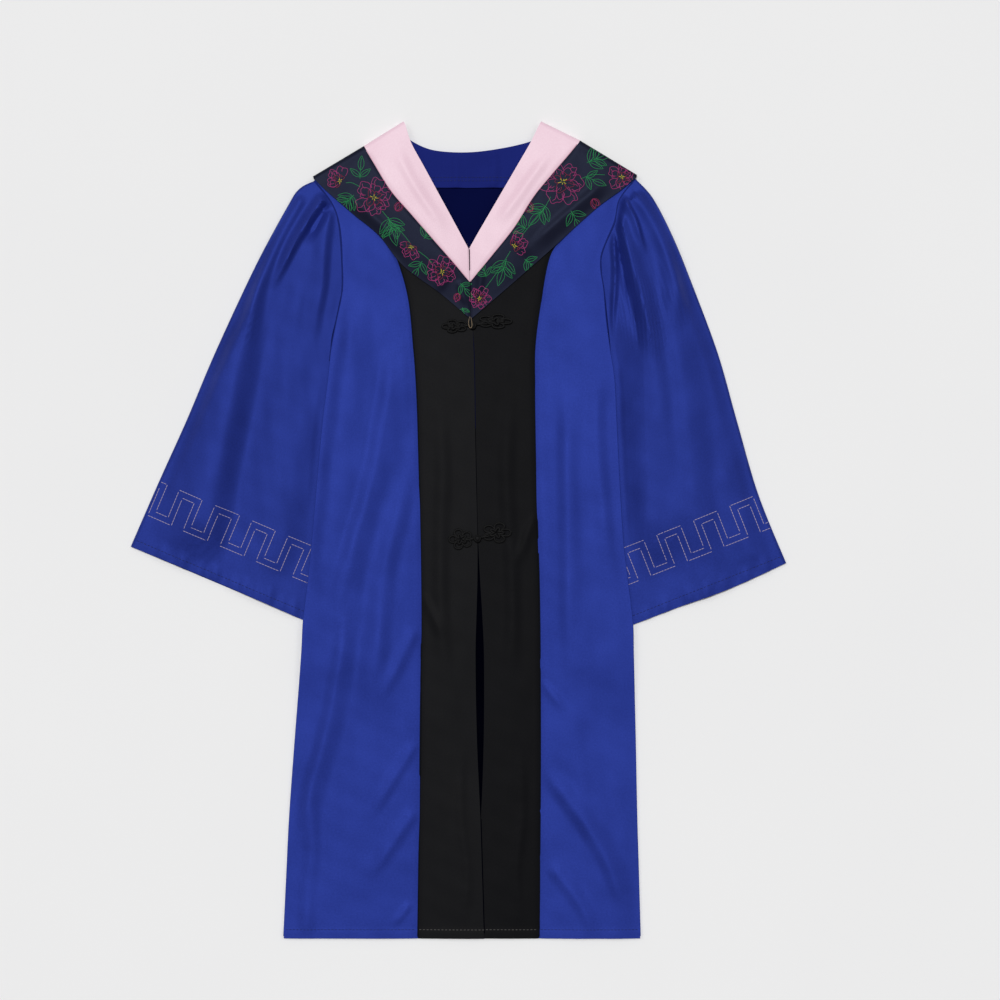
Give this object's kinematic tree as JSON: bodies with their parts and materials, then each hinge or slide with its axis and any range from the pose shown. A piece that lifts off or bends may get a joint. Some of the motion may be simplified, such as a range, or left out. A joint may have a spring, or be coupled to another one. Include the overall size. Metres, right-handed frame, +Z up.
{
  "type": "graduation gown laid flat",
  "caption": "Long blue graduation gown with wide sleeves, black front bands, frog fastenings and a V-shaped flowered hood with a pink edge, laid flat on its back.",
  "frame": {"origin": "on the surface the gown lies on, under the middle of its bounding box", "axes": "+Y from the hem to the neck, +X to the right of someone looking down on the gown's front, +Z up, away from the surface"},
  "size_m": [0.655, 0.816, 0.0112],
  "materials": {
    "gown_cloth": "royal blue polyester with a soft low sheen",
    "band_cloth": "matt black polyester",
    "hood_satin": "near-black satin with drawn flowers",
    "trim_satin": "pale pink satin",
    "frog_cord": "black twisted cord"
  },
  "bodies": {
    "root": {"back_panel": "gown_cloth", "neck_facing": "gown_cloth", "front_left": "gown_cloth", "front_right": "gown_cloth", "sleeve_left": "gown_cloth", "sleeve_right": "gown_cloth", "band_left": "band_cloth", "band_right": "band_cloth", "hood_band_left": "hood_satin", "hood_band_right": "hood_satin", "hood_trim_left": "trim_satin", "hood_trim_right": "trim_satin", "frog_upper_left": "frog_cord", "frog_upper_right": "frog_cord", "frog_upper_knot": "frog_cord", "frog_lower_left": "frog_cord", "frog_lower_right": "frog_cord", "frog_lower_knot": "frog_cord"}
  },
  "joints": []
}
